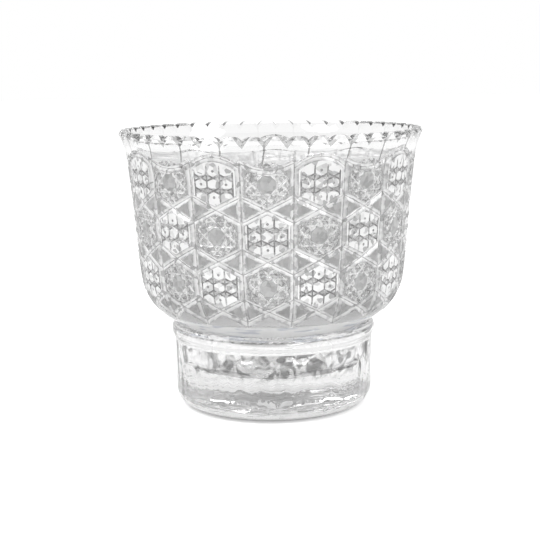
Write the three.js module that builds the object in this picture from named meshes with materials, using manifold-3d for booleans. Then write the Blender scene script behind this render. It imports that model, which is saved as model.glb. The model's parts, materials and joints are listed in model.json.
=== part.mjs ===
// Footed vase in hand-cut lead crystal: a flared bowl with a saw-tooth rim on a thick drum foot.
// Millimetres, +Z up. The origin is the middle of the flat base that the vase stands on.
// The bowl's wall is laid out flat as one tile of the pattern, two columns wide. All the cuts are
// taken out of that tile, and the tile is then rolled up round the bowl as often as it repeats.

import * as THREE from 'three';
import Module from 'manifold-3d';
import { mergeVertices } from 'three/addons/utils/BufferGeometryUtils.js';

// Outside of the blank
const height = 166;            // base to the tops of the rim's teeth
const rimRadius = 90;          // over the rim
const rimBevel = 2.2;          // bevel round the outer edge of the rim
const lipRadius = 85.6;        // where the lip starts to flare
const lipDepth = 17;           // how far down from the rim the flare reaches
const shoulderRadius = 78.6;   // where the wall turns under
const shoulderRise = 25.5;     // how far above the crease that is
const waistRadius = 57.7;      // the crease between the bowl and the foot
const footHeight = 51;         // base to the crease
const beadRadius = 61.7;       // the bead round the top of the foot
const beadDrop = 2.8;          // how far the top of the foot slopes down to the bead
const beadHeight = 7.5;
const footRadius = 60.1;       // drum, just under the bead
const baseRadius = 59.4;       // drum, just above the rounded base edge
const baseCorner = 10;         // rounding of the base edge

// Inside of the blank
const rimWall = 4.6;
const bowlWall = 7.6;          // wall of the bowl at the shoulder
const floorRise = 9;           // how far above the crease the bowl's floor curves in to the well
const wellRadius = 36;         // the well that goes down into the foot
const wellCorner = 7;          // rounding at the bottom of the well
const baseThickness = 23;      // solid glass under the well
const seamGap = 0.3;           // clearance between the two nodes at the crease

// How full the curves are: the places of their handles, as shares [across, up] of the stretch they span
const undersideLow = [0.56, 0.28];
const undersideHigh = [0.885, 0.54];
const sideLow = [0.34, 0.21];
const sideHigh = [0.49, 0.6];
const lipPull = [0.24, 0.5];
const floorInner = [0.03, floorRise / shoulderRise];
const floorOuter = [0.94, floorRise / shoulderRise];
const bevelSlant = 0.7;        // how far in the rim's bevel goes, as a share of its height
const beadEase = 0.15;         // rounding of the bead's edges, as a share of its height

// Saw-tooth rim
const toothCount = 46;
const toothDepth = 3.3;
const notchShare = 0.5;        // share of the tooth pitch that a notch takes
const notchRise = 1.2;         // how much shallower a notch is inside the rim than outside
const notchTurn = 0.011;       // radians that the notch at the front stands off the front column's middle

// Cut pattern: columns between mitres, crossed by a lattice that leaves six-sided panels
const columnPairs = 9;         // each pair starts one column with lace and the other with a star
const panelRows = 3;
const clearBand = 11.4;        // plain glass between the rim and the tops of the panels
const plainUnderside = 10.6;   // plain glass between the crease and the lower ends of the mitres
const archRise = 6;            // height of the arch over a lace column
const swagDrop = 4;            // how far the upper edge of a star column sags in its middle
const mitreWidth = 4.4;
const mitreDepth = 1.6;
const mitreEnd = 2.4;          // how far a mitre runs on past the last cut that meets it
const latticeWidth = 4;
const latticeDepth = 1.3;
const buttonRadius = 4.8;      // the uncut button in the middle of a star
const starPoints = 8;
const starReach = 10.6;        // middle of a star to its points
const starWidth = 3.2;
const starDepth = 1;
const starCrest = 0.35;        // how far out a star cut is deepest, as a share of its length
const laceColumns = 4;         // fine cuts across one panel of lace
const laceWidth = 1.4;
const laceDepth = 0.7;
const laceSpread = 0.9;        // share of the panel's width that the fine cuts are spaced over
const laceReach = 0.32;        // half the length of the middle fine cuts, as a share of the panel's pitch
const laceTaper = 0.4;         // how much shorter they get towards the panel's sides
const overrun = 1.02;          // how far the lattice runs on past the middle of a mitre

// Star cut on the underside
const rayCount = 24;
const rayReach = 39;           // outer end of the rays
const rayHub = 3;              // inner end of the rays
const rayWidth = 4.4;
const rayDepth = 1.8;
const rayCrest = 0.8;          // how far out a ray is deepest, as a share of its length

// Fineness of the facets
const facetsPerColumn = 2;
const undersideSteps = 5;
const wallSteps = 3;
const lipSteps = 2;
const floorSteps = 6;
const baseCornerSteps = 5;
const wellCornerSteps = 4;
const footFacets = 64;
const cavityFacets = 40;

const frontAngle = -Math.PI / 2;   // a star column faces the front, which is -Y
const samePoint = 1e-4;            // points nearer than this are one
const sameLine = 1e-3;             // points of the tile nearer to a border than this lie on it

const wasm = await Module();
wasm.setup();

// Joining and cutting

function toSolid(geometry, faceID) {
  const bare = geometry.clone();
  bare.deleteAttribute('normal');
  bare.deleteAttribute('uv');
  const merged = mergeVertices(bare, samePoint);
  return new wasm.Manifold(new wasm.Mesh({
    numProp: 3,
    vertProperties: new Float32Array(merged.attributes.position.array),
    triVerts: new Uint32Array(merged.index.array),
    faceID,
  }));
}

function toGeometry(solid) {
  const mesh = solid.getMesh();
  const geometry = new THREE.BufferGeometry();
  geometry.setAttribute('position', new THREE.BufferAttribute(mesh.vertProperties, 3));
  geometry.setIndex(new THREE.BufferAttribute(mesh.triVerts, 1));
  geometry.computeVertexNormals();
  return geometry;
}

// Turns an outline of (radius, height) points round the Z axis
function revolve(points, facets) {
  return toSolid(new THREE.LatheGeometry(points, facets).rotateX(Math.PI / 2));
}

function cutAll(solid, cuts) {
  return solid.subtract(wasm.Manifold.union(cuts));
}

// A V cut along straight stretches. Each station is a point with the depth there, and the cut opens along up.
// Every stretch has face numbers of its own, so that a station in a straight run keeps its points.
function vCut(stations, up, width, fullDepth) {
  const corners = [];
  const faces = [];
  const faceIDs = [];
  stations.forEach(({ point, depth }, i) => {
    const before = stations[Math.max(0, i - 1)].point;
    const after = stations[Math.min(stations.length - 1, i + 1)].point;
    const side = after.clone().sub(before).cross(up).normalize();
    const half = (width / 2) * (fullDepth + depth) / fullDepth;
    const top = point.clone().addScaledVector(up, fullDepth);
    corners.push(
      ...top.clone().addScaledVector(side, -half),
      ...point.clone().addScaledVector(up, -depth),
      ...top.clone().addScaledVector(side, half));
    if (i === 0) return;
    const now = 3 * i;
    const was = now - 3;
    for (let k = 0; k < 3; k += 1) {
      const next = (k + 1) % 3;
      faces.push(was + k, now + k, was + next, was + next, now + k, now + next);
      faceIDs.push(now + k, now + k);
    }
  });
  const end = 3 * (stations.length - 1);
  faces.push(0, 1, 2, end, end + 2, end + 1);
  faceIDs.push(0, 1);
  const geometry = new THREE.BufferGeometry();
  geometry.setAttribute('position', new THREE.Float32BufferAttribute(corners, 3));
  geometry.setIndex(faces);
  return toSolid(geometry, Uint32Array.from(faceIDs));
}

// Outline of the bowl

const crease = new THREE.Vector2(waistRadius, footHeight + seamGap / 2);
const shoulder = new THREE.Vector2(shoulderRadius, footHeight + shoulderRise);
const lipStart = new THREE.Vector2(lipRadius, height - lipDepth);
const rimEdge = new THREE.Vector2(rimRadius, height - rimBevel);

// The curve from one point to another, with its handles at shares of the stretch between them
function curveBetween(from, to, handles, steps) {
  const place = ([across, up]) => (
    new THREE.Vector2(from.x + across * (to.x - from.x), from.y + up * (to.y - from.y)));
  const curve = handles.length === 2
    ? new THREE.CubicBezierCurve(from, place(handles[0]), place(handles[1]), to)
    : new THREE.QuadraticBezierCurve(from, place(handles[0]), to);
  return curve.getPoints(steps);
}

// Outside from the crease up to the rim, ending with the rim's bevel
function bowlOutside() {
  return [
    ...curveBetween(crease, shoulder, [undersideLow, undersideHigh], undersideSteps).slice(0, -1),
    ...curveBetween(shoulder, lipStart, [sideLow, sideHigh], wallSteps).slice(0, -1),
    ...curveBetween(lipStart, rimEdge, [lipPull], lipSteps),
    new THREE.Vector2(rimRadius - bevelSlant * rimBevel, height),
  ];
}

const outside = bowlOutside();

// The stretch of the outside that a height lies on, and how far along it
function stretchAt(z) {
  const above = outside.findIndex((p) => p.y > z);
  const i = above < 0 ? outside.length - 2 : Math.max(0, above - 1);
  return { i, t: (z - outside[i].y) / (outside[i + 1].y - outside[i].y) };
}

function radiusAt(z) {
  const { i, t } = stretchAt(z);
  return outside[i].x + t * (outside[i + 1].x - outside[i].x);
}

// The flat tile: X is the way round, Y the height and Z the depth into the wall, in millimetres

const tileColumns = 2;
const columnAngle = 2 * Math.PI / (columnPairs * tileColumns);
const patternTop = height - clearBand;
const patternFoot = footHeight + plainUnderside;
const panelPitch = (patternTop - patternFoot) / (panelRows + 0.25);
const sideTop = patternTop - archRise / 2;   // where a star column's upper edge meets the mitres
const panelWidth = columnAngle * radiusAt((patternTop + patternFoot) / 2);
const tileWidth = tileColumns * panelWidth;
const tileLeft = 0.1 * mitreWidth;   // the tile's edge lies just beside the bottom of a mitre
const flat = new THREE.Vector3(0, 0, 1);

function blankTile() {
  const rows = outside.length - 1;
  const box = new THREE.BoxGeometry(tileWidth, rows, bowlWall, tileColumns * facetsPerColumn, rows, 1);
  box.translate(tileLeft + tileWidth / 2, rows / 2, -bowlWall / 2);
  const position = box.attributes.position;
  for (let i = 0; i < position.count; i += 1) {
    position.setY(i, outside[Math.round(position.getY(i))].y);
  }
  const quads = Uint32Array.from({ length: box.index.count / 3 }, (_, i) => Math.floor(i / 2));
  return toSolid(box, quads);
}

// A cut of one depth on the tile, through places given as [across, up]
function groove(places, width, depth) {
  const stations = places.map(([x, y]) => ({ point: new THREE.Vector3(x, y, 0), depth }));
  return vCut(stations, flat, width, depth);
}

// A boat-shaped cut on the tile, which runs out at both ends and is deepest at a share of its length
function boatCut([fromX, fromY], [toX, toY], width, depth, crest) {
  const from = new THREE.Vector3(fromX, fromY, 0);
  const to = new THREE.Vector3(toX, toY, 0);
  const stations = [
    { point: from, depth: 0 },
    { point: from.clone().lerp(to, crest), depth },
    { point: to, depth: 0 },
  ];
  return vCut(stations, flat, width, depth);
}

const panelMiddle = (row) => patternTop - panelPitch * (row + 0.5);
const crossingHeight = (row) => patternTop - panelPitch * row;

// The lattice of one column, whose crossings stand in the middle of the column
function latticeCuts(middle) {
  const run = overrun * panelWidth / 2;
  const rise = overrun * panelPitch / 4;
  const cuts = [];
  for (let row = 1; row <= panelRows; row += 1) {
    const y = crossingHeight(row);
    cuts.push(groove([[middle - run, y - rise], [middle + run, y + rise]], latticeWidth, latticeDepth));
    cuts.push(groove([[middle - run, y + rise], [middle + run, y - rise]], latticeWidth, latticeDepth));
  }
  return cuts;
}

// A mitre has a station at each bend of the wall, so that its bottom follows the wall
function mitreCut(x) {
  const low = patternFoot - mitreEnd;
  const high = sideTop + mitreEnd;
  const bends = outside.map((point) => point.y).filter((y) => y > low && y < high);
  return groove([low, ...bends, high].map((y) => [x, y]), mitreWidth, mitreDepth);
}

// The upper edge of a column: an arch over lace, a sagging cut over a star
function topCut(middle, arched) {
  const top = (t) => (arched ? patternTop - archRise * t * t : sideTop - swagDrop * (1 - t * t));
  const places = [-1, -0.4, 0.4, 1].map((t) => [middle + t * overrun * panelWidth / 2, top(t)]);
  return groove(places, latticeWidth, latticeDepth);
}

// A star of boat-shaped cuts round an uncut button
function starCuts(middle, row) {
  return Array.from({ length: starPoints }, (_, i) => {
    const turn = (i + 0.5) * 2 * Math.PI / starPoints;
    const at = (radius) => [middle + radius * Math.cos(turn), panelMiddle(row) + radius * Math.sin(turn)];
    return boatCut(at(buttonRadius), at(starReach), starWidth, starDepth, starCrest);
  });
}

// A panel of lace: fine boat-shaped cuts side by side, as long as the six-sided panel leaves room for
function laceCuts(middle, row) {
  return Array.from({ length: laceColumns }, (_, i) => {
    const across = (i + 0.5) / laceColumns - 0.5;
    const reach = panelPitch * (laceReach - laceTaper * Math.abs(across));
    const x = middle + across * laceSpread * panelWidth;
    return boatCut([x, panelMiddle(row) - reach], [x, panelMiddle(row) + reach], laceWidth, laceDepth, 0.5);
  });
}

// The tile with its own columns cut, and what reaches over its edges from the columns on both sides
function cutTile() {
  const cuts = [];
  for (let column = -1; column <= tileColumns; column += 1) {
    const middle = (column + 0.5) * panelWidth;
    const laceFirst = Math.abs(column) % 2 === 1;
    cuts.push(mitreCut(middle + panelWidth / 2), ...latticeCuts(middle), topCut(middle, laceFirst));
    for (let row = 0; row < panelRows; row += 1) {
      const lace = (row % 2 === 0) === laceFirst;
      cuts.push(...(lace ? laceCuts(middle, row) : starCuts(middle, row)));
    }
  }
  return cuts.reduce((tile, cut) => tile.subtract(cut), blankTile());
}

// Rolling the tile up

// Takes a point of the flat tile to its place on the bowl, after turning by whole tiles
function rollUp([x, y, z], tile) {
  const { i, t } = stretchAt(y);
  const angle = frontAngle + (x / panelWidth - 0.5 + tile * tileColumns) * columnAngle;
  const [low, high] = [outside[i], outside[i + 1]];
  const out = new THREE.Vector2(high.y - low.y, low.x - high.x).normalize();
  const section = new THREE.Vector2().lerpVectors(low, high, t).addScaledVector(out, z);
  return [section.x * Math.cos(angle), section.x * Math.sin(angle), section.y];
}

// Copies the face of the tile round the bowl and closes it with a flat top and bottom.
// The points on a tile's right edge are those on the left edge of the next copy.
function rolledBowl(tile) {
  const { vertProperties, triVerts } = tile.getMesh();
  const points = Array.from({ length: vertProperties.length / 3 }, (_, i) => (
    [vertProperties[3 * i], vertProperties[3 * i + 1], vertProperties[3 * i + 2]]));
  const near = (a, b) => Math.abs(a - b) < sameLine;
  const indices = points.map((_, i) => i);
  const onLeft = indices.map((i) => near(points[i][0], tileLeft));
  const onRight = indices.map((i) => near(points[i][0], tileLeft + tileWidth));
  const onBack = indices.map((i) => near(points[i][2], -bowlWall));
  const sameAcross = (i, j) => near(points[i][1], points[j][1]) && near(points[i][2], points[j][2]);
  const twin = indices.map((i) => (onRight[i] ? indices.find((j) => onLeft[j] && sameAcross(i, j)) : i));
  const rowAt = (y) => indices.filter((i) => !onBack[i] && near(points[i][1], y))
    .sort((i, j) => points[i][0] - points[j][0]);
  const bottomRow = rowAt(outside[0].y);
  const topRow = rowAt(height);

  const positions = [];
  const faces = [];
  const bottomCentre = columnPairs * points.length;
  const topCentre = bottomCentre + 1;
  for (let copy = 0; copy < columnPairs; copy += 1) {
    const next = (copy + 1) % columnPairs;
    const index = (i) => (onRight[i] ? next * points.length + twin[i] : copy * points.length + i);
    for (const point of points) positions.push(...rollUp(point, copy));
    for (let k = 0; k < triVerts.length; k += 3) {
      const corners = [triVerts[k], triVerts[k + 1], triVerts[k + 2]];
      const dropped = corners.some((i) => onBack[i]) || corners.every((i) => onLeft[i])
        || corners.every((i) => onRight[i]);
      if (!dropped) faces.push(...corners.map(index));
    }
    for (let k = 1; k < topRow.length; k += 1) {
      faces.push(bottomCentre, index(bottomRow[k]), index(bottomRow[k - 1]));
      faces.push(topCentre, index(topRow[k - 1]), index(topRow[k]));
    }
  }
  positions.push(0, 0, outside[0].y, 0, 0, height);
  const geometry = new THREE.BufferGeometry();
  geometry.setAttribute('position', new THREE.Float32BufferAttribute(positions, 3));
  geometry.setIndex(faces);
  return toSolid(geometry);
}

// Bowl

// The hollow of the bowl, from the top of the well up through the rim
function bowlCavity() {
  const wellTop = new THREE.Vector2(wellRadius, footHeight);
  const wallFoot = new THREE.Vector2(shoulderRadius - bowlWall, footHeight + shoulderRise);
  const lipInside = lipRadius - (bowlWall + rimWall) / 2;
  return revolve([
    new THREE.Vector2(0, 0),
    new THREE.Vector2(wellRadius, 0),
    ...curveBetween(wellTop, wallFoot, [floorInner, floorOuter], floorSteps),
    new THREE.Vector2(lipInside, height - lipDepth),
    new THREE.Vector2(rimRadius - rimWall, height),
    new THREE.Vector2(rimRadius, height + lipDepth),
    new THREE.Vector2(0, height + lipDepth),
  ], cavityFacets);
}

// One notch between two teeth: a V across the rim, deeper outside than inside
function rimNotch(index) {
  const angle = frontAngle - notchTurn + index * 2 * Math.PI / toothCount;
  const width = notchShare * 2 * Math.PI * rimRadius / toothCount;
  const station = (radius, depth) => ({
    point: new THREE.Vector3(radius * Math.cos(angle), radius * Math.sin(angle), height),
    depth,
  });
  const slope = notchRise / rimWall;
  const inner = rimRadius - 2 * rimWall;
  const outer = rimRadius + rimWall;
  const stations = [
    station(inner, toothDepth - slope * (rimRadius - inner)),
    station(outer, toothDepth + slope * (outer - rimRadius)),
  ];
  return vCut(stations, flat, width, toothDepth);
}

function makeBowl() {
  const notches = Array.from({ length: toothCount }, (_, i) => rimNotch(i));
  return cutAll(rolledBowl(cutTile()), [bowlCavity(), ...notches]);
}

// Foot

// Points of a quarter circle round a centre, from a starting angle
function roundedCorner(centre, radius, from, steps) {
  return Array.from({ length: steps + 1 }, (_, i) => {
    const angle = from + (i / steps) * Math.PI / 2;
    return new THREE.Vector2(centre.x + radius * Math.cos(angle), centre.y + radius * Math.sin(angle));
  });
}

function footBlank() {
  const top = footHeight - seamGap / 2;
  const beadTop = footHeight - beadDrop;
  const baseCentre = new THREE.Vector2(baseRadius - baseCorner, baseCorner);
  return revolve([
    new THREE.Vector2(0, 0),
    ...roundedCorner(baseCentre, baseCorner, -Math.PI / 2, baseCornerSteps),
    new THREE.Vector2(footRadius, beadTop - beadHeight),
    new THREE.Vector2(beadRadius, beadTop - (1 - 2 * beadEase) * beadHeight),
    new THREE.Vector2(beadRadius, beadTop - beadEase * beadHeight),
    new THREE.Vector2(beadRadius - beadEase * beadHeight, beadTop),
    new THREE.Vector2(waistRadius, top),
    new THREE.Vector2(0, top),
  ], footFacets);
}

function wellCavity() {
  const centre = new THREE.Vector2(wellRadius - wellCorner, baseThickness + wellCorner);
  return revolve([
    new THREE.Vector2(0, baseThickness),
    ...roundedCorner(centre, wellCorner, -Math.PI / 2, wellCornerSteps),
    new THREE.Vector2(wellRadius, height),
    new THREE.Vector2(0, height),
  ], cavityFacets);
}

// One ray of the star under the base: a boat-shaped cut upwards from the flat, deepest towards its outer end
function starRay(index) {
  const angle = index * 2 * Math.PI / rayCount;
  const station = (radius, depth) => ({
    point: new THREE.Vector3(radius * Math.cos(angle), radius * Math.sin(angle), 0),
    depth,
  });
  const crest = rayHub + rayCrest * (rayReach - rayHub);
  return vCut([station(rayHub, 0), station(crest, rayDepth), station(rayReach, 0)],
    new THREE.Vector3(0, 0, -1), rayWidth, rayDepth);
}

function makeFoot() {
  const rays = Array.from({ length: rayCount }, (_, i) => starRay(i));
  return cutAll(footBlank(), [wellCavity(), ...rays]);
}

// The vase

const crystal = { color: 0xe4e6e6, roughness: 0.04, metalness: 0, transparent: true, opacity: 0.35 };

function named(name, solid) {
  const mesh = new THREE.Mesh(toGeometry(solid), new THREE.MeshStandardMaterial(crystal));
  mesh.name = name;
  return mesh;
}

const vase = new THREE.Group();
vase.add(named('bowl', makeBowl()));
vase.add(named('foot', makeFoot()));

export default vase;
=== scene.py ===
import json
import math
import time
from types import SimpleNamespace

import bpy
from mathutils import Matrix, Vector
from mathutils.geometry import interpolate_bezier

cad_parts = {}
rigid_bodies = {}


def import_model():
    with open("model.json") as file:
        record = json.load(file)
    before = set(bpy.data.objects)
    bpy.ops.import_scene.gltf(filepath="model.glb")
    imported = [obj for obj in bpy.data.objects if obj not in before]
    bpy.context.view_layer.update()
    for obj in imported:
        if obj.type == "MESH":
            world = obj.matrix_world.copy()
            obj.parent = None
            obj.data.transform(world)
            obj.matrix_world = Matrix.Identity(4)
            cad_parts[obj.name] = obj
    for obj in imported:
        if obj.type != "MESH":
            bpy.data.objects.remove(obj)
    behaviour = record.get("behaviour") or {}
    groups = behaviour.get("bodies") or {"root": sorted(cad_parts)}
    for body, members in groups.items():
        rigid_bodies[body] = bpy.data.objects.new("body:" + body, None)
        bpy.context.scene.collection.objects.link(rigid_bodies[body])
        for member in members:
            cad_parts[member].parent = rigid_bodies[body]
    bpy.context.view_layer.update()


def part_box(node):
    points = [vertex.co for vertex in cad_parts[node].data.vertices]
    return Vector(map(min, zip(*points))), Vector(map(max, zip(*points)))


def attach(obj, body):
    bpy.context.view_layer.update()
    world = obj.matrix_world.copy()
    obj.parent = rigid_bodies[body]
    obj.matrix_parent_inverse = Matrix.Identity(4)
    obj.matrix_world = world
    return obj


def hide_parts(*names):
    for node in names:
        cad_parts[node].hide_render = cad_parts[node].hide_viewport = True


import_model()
started = time.time()
mm = 0.001


def say(stage):
    print(f"{time.time() - started:6.1f} s  {stage}")


def deselectAll():
    if bpy.context.object and bpy.context.object.mode != "OBJECT":
        bpy.ops.object.mode_set(mode="OBJECT")
    bpy.ops.object.select_all(action="DESELECT")


def makeActive(obj):
    deselectAll()
    obj.select_set(True)
    bpy.context.view_layer.objects.active = obj


def applyPlace():
    bpy.ops.object.transform_apply(location=True, rotation=True, scale=True)


def editAll(obj):
    makeActive(obj)
    bpy.ops.object.mode_set(mode="EDIT")
    bpy.ops.mesh.select_all(action="SELECT")


def leaveEdit():
    bpy.ops.object.mode_set(mode="OBJECT")


def faceOut(obj):
    editAll(obj)
    bpy.ops.mesh.normals_make_consistent(inside=False)
    leaveEdit()


def mergeDoubles(obj, distance):
    editAll(obj)
    bpy.ops.mesh.remove_doubles(threshold=distance)
    leaveEdit()


def newCollection(name):
    collection = bpy.data.collections.new(name)
    bpy.context.scene.collection.children.link(collection)
    return collection


def linkNew(name, mesh):
    obj = bpy.data.objects.new(name, mesh)
    bpy.context.scene.collection.objects.link(obj)
    return obj


def joinTo(obj, others):
    makeActive(obj)
    for other in others:
        other.select_set(True)
    bpy.ops.object.join()


def carve(obj, collection):
    # cuts all objects of a collection out of one object, and removes them
    makeActive(obj)
    boolean = obj.modifiers.new(collection.name, "BOOLEAN")
    boolean.operation = "DIFFERENCE"
    boolean.operand_type = "COLLECTION"
    boolean.collection = collection
    boolean.solver = "MANIFOLD"
    bpy.ops.object.modifier_apply(modifier=boolean.name)
    for piece in list(collection.objects):
        bpy.data.meshes.remove(piece.data)
    bpy.data.collections.remove(collection)


# The blank before cutting, with its points given as (across, up)
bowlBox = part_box("bowl")
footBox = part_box("foot")
blank = {
    "height": bowlBox[1][2],
    "rimRadius": 90 * mm,
    "rimBevel": 2.2 * mm,
    "lipRadius": 85.6 * mm,
    "lipDepth": 17 * mm,
    "shoulderRadius": 78.6 * mm,
    "shoulderRise": 25.5 * mm,
    "waistRadius": 57.7 * mm,
    "crease": (bowlBox[0][2] + footBox[1][2]) / 2,
    "beadRadius": 61.7 * mm,
    "beadDrop": 2.8 * mm,
    "beadHeight": 7.5 * mm,
    "footRadius": 60.1 * mm,
    "baseRadius": 59.4 * mm,
    "baseCorner": 10 * mm,
    "rimWall": 4.6 * mm,
    "wellRadius": 36 * mm,
    "wellCorner": 7 * mm,
    "baseThickness": 23 * mm,
    "undersideBend": ((0.56, 0.28), (0.115, 0.46)),  # handles as shares of the way, on from its start
    "sideBend": ((0.34, 0.21), (0.51, 0.4)),  # and back from its end
    "lipHandles": ((0.16, 0.33), (0.5, 0.6)),  # shares of the flare and of the lip's depth
    "beadHandles": (2.4 * mm, 1 * mm),  # out from the waist, and up over the bead's top
    "beadBelly": 0.25,  # shares of the bead's height, downward
    "beadHollow": (0.6, 0.7),
    "insideShoulder": (76.5 * mm, 122 * mm),
    "insideBelly": (70.6 * mm, 79 * mm),
    "wallHandles": ((82.4 * mm, 155 * mm), (80.2 * mm, 149 * mm)),
    "lowerHandles": ((74.3 * mm, 106 * mm), (72 * mm, 92 * mm)),
    "floorHandle": (68.6 * mm, 61 * mm),
    "floorEdge": (38 * mm, 11 * mm),  # up from the crease
    "outsideSteps": (14, 16, 6),  # underside, side and lip
    "insideSteps": (10, 8, 16, 8),  # wall, lower wall, floor and the well's corner
    "footSteps": (5, 6, 9),  # bead, hollow and the base's corner
    "stepsAround": 180,
    "smoothAngle": math.radians(16),
    "frontAngle": -math.pi / 2,
}


def bezier(knots, steps):
    points = [Vector((across, up, 0)) for across, up in knots]
    return [(p.x, p.y) for p in interpolate_bezier(*points, steps + 1)]


def bent(start, end, bend, steps):
    # the first handle is measured from the start, and the second one back from the end
    (outAcross, outUp), (backAcross, backUp) = bend
    across, up = end[0] - start[0], end[1] - start[1]
    return bezier([start, (start[0] + outAcross * across, start[1] + outUp * up),
                   (end[0] - backAcross * across, end[1] - backUp * up), end], steps)


def bowlOutside():
    b = blank
    low = (b["waistRadius"], b["crease"])
    shoulder = (b["shoulderRadius"], b["crease"] + b["shoulderRise"])
    neck = (b["lipRadius"], b["height"] - b["lipDepth"])
    top = (b["rimRadius"], b["height"] - b["rimBevel"])
    flare = b["rimRadius"] - b["lipRadius"]
    lipHandles = [(neck[0] + across * flare, neck[1] + up * b["lipDepth"]) for across, up in b["lipHandles"]]
    undersideSteps, sideSteps, lipSteps = b["outsideSteps"]
    underside = bent(low, shoulder, b["undersideBend"], undersideSteps)
    side = bent(shoulder, neck, b["sideBend"], sideSteps)
    return underside[:-1] + side[:-1] + bezier([neck, *lipHandles, top], lipSteps)


outside = bowlOutside()


def outwardAt(i):
    low = outside[max(0, i - 1)]
    high = outside[min(len(outside) - 1, i + 1)]
    return Vector((high[1] - low[1], low[0] - high[0])).normalized()


outward = [outwardAt(i) for i in range(len(outside))]


def onOutside(height):
    # radius and outward direction of the blank at a height
    i = max(0, min(len(outside) - 2, sum(1 for p in outside if p[1] <= height) - 1))
    t = (height - outside[i][1]) / (outside[i + 1][1] - outside[i][1])
    radius = outside[i][0] + t * (outside[i + 1][0] - outside[i][0])
    return radius, outward[i].lerp(outward[i + 1], t).normalized()


# The cutting is laid out on one flat tile of two columns, which is then rolled round the bowl
pattern = {
    "pairs": 9,
    "rows": 3,
    "top": blank["height"] - 11.4 * mm,
    "foot": blank["crease"] + 10.6 * mm,
    "part": 0.25,  # of a row, below the last whole one
    "archRise": 6 * mm,
    "swagDrop": 4 * mm,
    "edgeSteps": (-1, -0.66, -0.33, 0, 0.33, 0.66, 1),
    "acrossTile": 20,
    "tileDepth": 4 * mm,
    "mitreWidth": 4.4 * mm,
    "mitreDepth": 1.6 * mm,
    "mitreEnd": 2.4 * mm,
    "mitreTaper": 0.03,
    "latticeWidth": 4 * mm,
    "latticeDepth": 1.3 * mm,
    "overrun": 1.02,
    "uneven": 0.05,  # share by which the cuts' depths differ
    "unevenWaves": (3.7, 1.9, 5),  # how fast: along the tile, up it, and with a cut's direction
    "aside": 0.1,  # the tile's edges stand this share of a mitre beside its root
}
pitch = (pattern["top"] - pattern["foot"]) / (pattern["rows"] + pattern["part"])
columnAngle = math.pi / pattern["pairs"]
panelWidth = columnAngle * onOutside((pattern["top"] + pattern["foot"]) / 2)[0]
tileLeft = pattern["aside"] * pattern["mitreWidth"]
sideTop = pattern["top"] - pattern["archRise"] / 2
tiny = 1e-6


def vCutter(taper):
    # one unit long along X, one deep, two wide at the surface; tapered ends run out to the surface
    bpy.ops.mesh.primitive_cylinder_add(vertices=3, radius=1, depth=1, rotation=(0, math.pi / 2, 0))
    applyPlace()
    cutter = bpy.context.object
    for v in cutter.data.vertices:
        if v.co.y > 0.9:  # one corner becomes the bottom, and the others stand above the surface
            v.co.y, v.co.z = 0, -1
        else:
            v.co.y, v.co.z = math.copysign(2, v.co.z), 1
    if taper:
        bpy.ops.object.mode_set(mode="EDIT")
        for side in (-1, 1):
            bpy.ops.mesh.select_all(action="SELECT")
            bpy.ops.mesh.bisect(plane_co=(side * (0.5 - taper), 0, 0), plane_no=(1, 0, 0))
        leaveEdit()
        for v in cutter.data.vertices:
            if abs(v.co.x) > 0.5 - tiny:
                v.co.y *= 0.5
                if v.co.z < 0:
                    v.co.z = 0
    faceOut(cutter)
    bpy.context.collection.objects.unlink(cutter)
    return cutter


cuts = newCollection("cuts")
cutters = {}


def cut(start, end, width, depth, taper=0.0):
    if taper not in cutters:
        cutters[taper] = vCutter(taper)
    start = Vector((*start, 0))
    end = Vector((*end, 0))
    along = end - start
    turn = math.atan2(along.y, along.x)
    repeat = start.x % (2 * panelWidth) / mm
    byPlace, byHeight, byTurn = pattern["unevenWaves"]
    wave = math.sin(byPlace * repeat + byHeight * start.y / mm + byTurn * turn)
    depth *= 1 + pattern["uneven"] * wave
    place = (Matrix.Translation((start + end) / 2)
             @ Matrix.Rotation(turn, 4, "Z")
             @ Matrix.Diagonal((along.length, width / 2, depth, 1)))
    copy = bpy.data.objects.new("cut", cutters[taper].data.copy())
    copy.data.transform(place)
    cuts.objects.link(copy)


def latticeCuts(middle):
    reach = panelWidth / 2 * pattern["overrun"]
    rise = pitch / 4 * pattern["overrun"]
    for row in range(1, pattern["rows"] + 1):
        y = pattern["top"] - row * pitch
        for way in (-1, 1):
            cut((middle - reach, y - way * rise), (middle + reach, y + way * rise),
                pattern["latticeWidth"], pattern["latticeDepth"])


def topEdge(across, starFirst):
    # the upper edge of a column: an arch over lace, a swag over a star; across runs from -1 to 1
    if starFirst:
        return sideTop - pattern["swagDrop"] * (1 - across ** 2)
    return pattern["top"] - pattern["archRise"] * across ** 2


def topCuts(middle, starFirst):
    edge = [(middle + t * panelWidth / 2, topEdge(t, starFirst)) for t in pattern["edgeSteps"]]
    for start, end in zip(edge, edge[1:]):
        cut(start, end, pattern["latticeWidth"], pattern["latticeDepth"])


star = {
    "points": 8,
    "skip": 3,
    "button": 4.6 * mm,
    "reachShare": 0.87,
    "width": 1.6 * mm,
    "depth": 0.75 * mm,
    "fineWidth": 1.0 * mm,
    "fineDepth": 0.45 * mm,
    "fineLines": ((2.7 * mm, 0.8), (4.9 * mm, 0.6)),  # outward from the chord, and share of its reach
    "taper": 0.1,
}


def starCuts(x, y):
    # chords round the button, each nearly as long as to the chord three points on, and finer ones outside
    middle = Vector((x, y))
    offset = star["button"] + star["width"] / 2
    reach = star["reachShare"] * offset * math.tan(star["skip"] * math.pi / star["points"])
    for i in range(star["points"]):
        turn = i * 2 * math.pi / star["points"]
        out = Vector((math.cos(turn), math.sin(turn)))
        along = Vector((-out.y, out.x)) * reach
        chord = middle + out * offset
        cut(chord - along, chord + along, star["width"], star["depth"], star["taper"])
        for step, share in star["fineLines"]:
            chord = middle + out * (offset + step)
            cut(chord - along * share, chord + along * share,
                star["fineWidth"], star["fineDepth"], star["taper"])


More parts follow.
